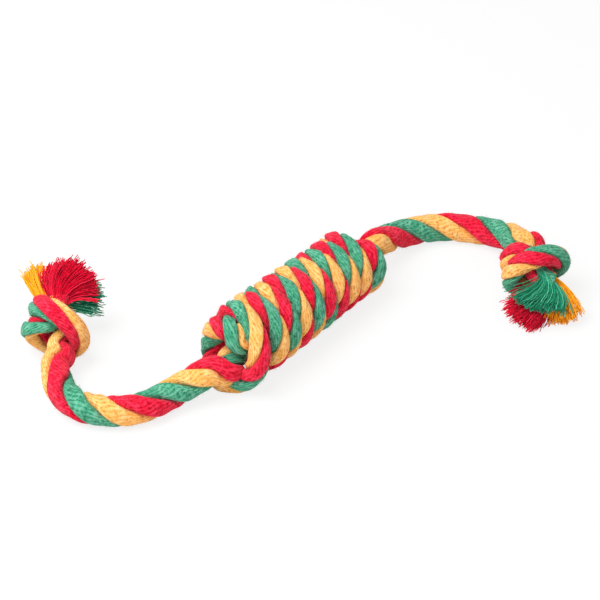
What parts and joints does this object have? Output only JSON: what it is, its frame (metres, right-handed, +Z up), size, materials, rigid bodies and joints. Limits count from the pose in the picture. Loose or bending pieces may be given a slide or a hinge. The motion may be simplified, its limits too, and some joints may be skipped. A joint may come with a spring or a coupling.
{
  "type": "rope dog toy",
  "caption": "Knotted three-strand rope tug toy: a long barrel knot with two free arms, each ending in a small knot and a frayed three-coloured tuft.",
  "frame": {"origin": "on the floor plane, under the middle of the box round the whole toy", "axes": "+X along the barrel knot towards the right arm, +Y away from the viewer's side across the toy, +Z up off the floor"},
  "size_m": [0.299, 0.2564, 0.0497],
  "materials": {
    "red_cotton": "soft fuzzy cotton yarn",
    "yellow_cotton": "soft fuzzy cotton yarn",
    "green_cotton": "soft fuzzy cotton yarn"
  },
  "bodies": {
    "root": {"left_knot_red": "red_cotton", "left_knot_yellow": "yellow_cotton", "left_knot_green": "green_cotton", "left_arm_red": "red_cotton", "left_arm_yellow": "yellow_cotton", "left_arm_green": "green_cotton", "inner_pass_a_red": "red_cotton", "inner_pass_a_yellow": "yellow_cotton", "inner_pass_a_green": "green_cotton", "barrel_winding_red": "red_cotton", "barrel_winding_yellow": "yellow_cotton", "barrel_winding_green": "green_cotton", "inner_pass_b_red": "red_cotton", "inner_pass_b_yellow": "yellow_cotton", "inner_pass_b_green": "green_cotton", "right_arm_red": "red_cotton", "right_arm_yellow": "yellow_cotton", "right_arm_green": "green_cotton", "right_knot_red": "red_cotton", "right_knot_yellow": "yellow_cotton", "right_knot_green": "green_cotton", "left_tuft_red": "red_cotton", "left_tuft_yellow": "yellow_cotton", "left_tuft_green": "green_cotton", "right_tuft_red": "red_cotton", "right_tuft_yellow": "yellow_cotton", "right_tuft_green": "green_cotton"}
  },
  "joints": []
}
